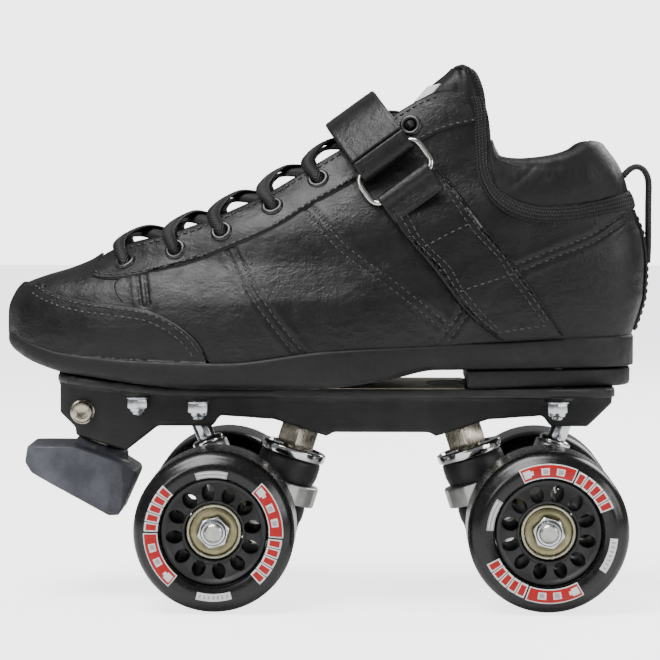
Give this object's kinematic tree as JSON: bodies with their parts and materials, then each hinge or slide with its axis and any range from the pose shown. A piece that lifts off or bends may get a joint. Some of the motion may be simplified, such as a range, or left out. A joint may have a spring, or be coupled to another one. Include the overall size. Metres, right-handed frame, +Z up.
{
  "type": "quad roller skate",
  "caption": "Low-cut quad roller skate: a laced, strapped boot on a flat plate, two sprung steering trucks, free-spinning wheels and an adjustable toe stop.",
  "frame": {"origin": "on the floor under the middle of the skate's bounding box, where the wheels stand", "axes": "+Z up, -X toward the toe, -Y toward the foot's outer side"},
  "size_m": [0.261, 0.136, 0.2157],
  "materials": {
    "tyre_urethane": "glossy black cast urethane with rounded lips",
    "hub_plastic": "satin black moulded nylon",
    "bearing_steel": "olive-gold plated bearing shield",
    "zinc_steel": "bright zinc-plated fasteners",
    "nickel_steel": "dull nickel-plated steel",
    "chrome": "polished chrome plate",
    "truck_aluminium": "machined and tumbled light alloy",
    "cushion_urethane": "matte black urethane",
    "nylon": "satin black glass-filled nylon",
    "stop_rubber": "dark blue-grey matte rubber",
    "sole_rubber": "matte black moulded rubber",
    "lining": "black knitted lining",
    "leather": "black pebbled synthetic leather with a satin sheen",
    "padding": "soft black padded leather and binding",
    "webbing": "black woven polyester",
    "nickel_wire": "nickel-plated wire"
  },
  "bodies": {
    "skate": {"front_kingpin": "nickel_steel", "front_kingpin_nut": "chrome", "front_upper_cup": "chrome", "front_upper_cushion": "cushion_urethane", "front_lower_cushion": "cushion_urethane", "rear_kingpin": "nickel_steel", "rear_kingpin_nut": "chrome", "rear_upper_cup": "chrome", "rear_upper_cushion": "cushion_urethane", "rear_lower_cushion": "cushion_urethane", "plate": "nylon", "toe_outer_mounting_bolt": "zinc_steel", "toe_inner_mounting_bolt": "zinc_steel", "ball_outer_mounting_bolt": "zinc_steel", "ball_inner_mounting_bolt": "zinc_steel", "heel_outer_mounting_bolt": "zinc_steel", "heel_inner_mounting_bolt": "zinc_steel", "toe_stop_clamp_screw": "zinc_steel", "outsole": "sole_rubber", "heel_lift": "sole_rubber", "insole": "lining", "toe_cap": "leather", "outer_quarter": "leather", "inner_quarter": "leather", "strap_anchor": "leather", "tongue": "padding", "collar": "padding", "strap": "webbing", "strap_ring": "nickel_wire", "lace": "webbing", "heel_loop": "webbing"},
    "front_truck": {"front_outer_axle_nut": "zinc_steel", "front_inner_axle_nut": "zinc_steel", "front_hanger": "truck_aluminium", "front_axle": "nickel_steel", "front_pivot_pin": "nickel_steel"},
    "rear_truck": {"rear_outer_axle_nut": "zinc_steel", "rear_inner_axle_nut": "zinc_steel", "rear_hanger": "truck_aluminium", "rear_axle": "nickel_steel", "rear_pivot_pin": "nickel_steel"},
    "toe_stop": {"toe_stop": "stop_rubber", "toe_stop_stem": "nickel_steel"},
    "strap_tab": {"strap_tab": "webbing"},
    "front_outer_wheel": {"front_outer_tyre": "tyre_urethane", "front_outer_hub": "hub_plastic", "front_outer_outer_bearing": "bearing_steel", "front_outer_inner_bearing": "bearing_steel"},
    "front_inner_wheel": {"front_inner_tyre": "tyre_urethane", "front_inner_hub": "hub_plastic", "front_inner_outer_bearing": "bearing_steel", "front_inner_inner_bearing": "bearing_steel"},
    "rear_outer_wheel": {"rear_outer_tyre": "tyre_urethane", "rear_outer_hub": "hub_plastic", "rear_outer_outer_bearing": "bearing_steel", "rear_outer_inner_bearing": "bearing_steel"},
    "rear_inner_wheel": {"rear_inner_tyre": "tyre_urethane", "rear_inner_hub": "hub_plastic", "rear_inner_outer_bearing": "bearing_steel", "rear_inner_inner_bearing": "bearing_steel"}
  },
  "joints": [
    {"name": "front_truck_steer", "type": "hinge", "parent": "skate", "child": "front_truck", "pos_m": [-0.0546, 0, 0.0745], "axis": [0.7377, 0, -0.6751], "range_deg": [-8, 8], "stiffness_Nm_per_rad": 6, "deforming": ["front_upper_cushion", "front_lower_cushion"]},
    {"name": "front_outer_wheel_spin", "type": "hinge", "parent": "front_truck", "child": "front_outer_wheel", "pos_m": [-0.0437, -0.047, 0.0315], "axis": [0, 1, 0], "continuous": true},
    {"name": "front_inner_wheel_spin", "type": "hinge", "parent": "front_truck", "child": "front_inner_wheel", "pos_m": [-0.0437, 0.047, 0.0315], "axis": [0, 1, 0], "continuous": true},
    {"name": "rear_truck_steer", "type": "hinge", "parent": "skate", "child": "rear_truck", "pos_m": [0.0972, 0, 0.0745], "axis": [-0.7377, 0, -0.6751], "range_deg": [-8, 8], "stiffness_Nm_per_rad": 6, "deforming": ["rear_upper_cushion", "rear_lower_cushion"]},
    {"name": "rear_outer_wheel_spin", "type": "hinge", "parent": "rear_truck", "child": "rear_outer_wheel", "pos_m": [0.0863, -0.047, 0.0315], "axis": [0, 1, 0], "continuous": true},
    {"name": "rear_inner_wheel_spin", "type": "hinge", "parent": "rear_truck", "child": "rear_inner_wheel", "pos_m": [0.0863, 0.047, 0.0315], "axis": [0, 1, 0], "continuous": true},
    {"name": "toe_stop_height", "type": "slide", "parent": "skate", "child": "toe_stop", "axis": [-0.2924, 0, -0.9563], "range_m": [0, 0.008]},
    {"name": "strap_tab_peel", "type": "hinge", "parent": "skate", "child": "strap_tab", "pos_m": [0.01948, -0.03546, 0.18106], "axis": [0.8102, 0, 0.5861], "range_deg": [0, 110]}
  ]
}
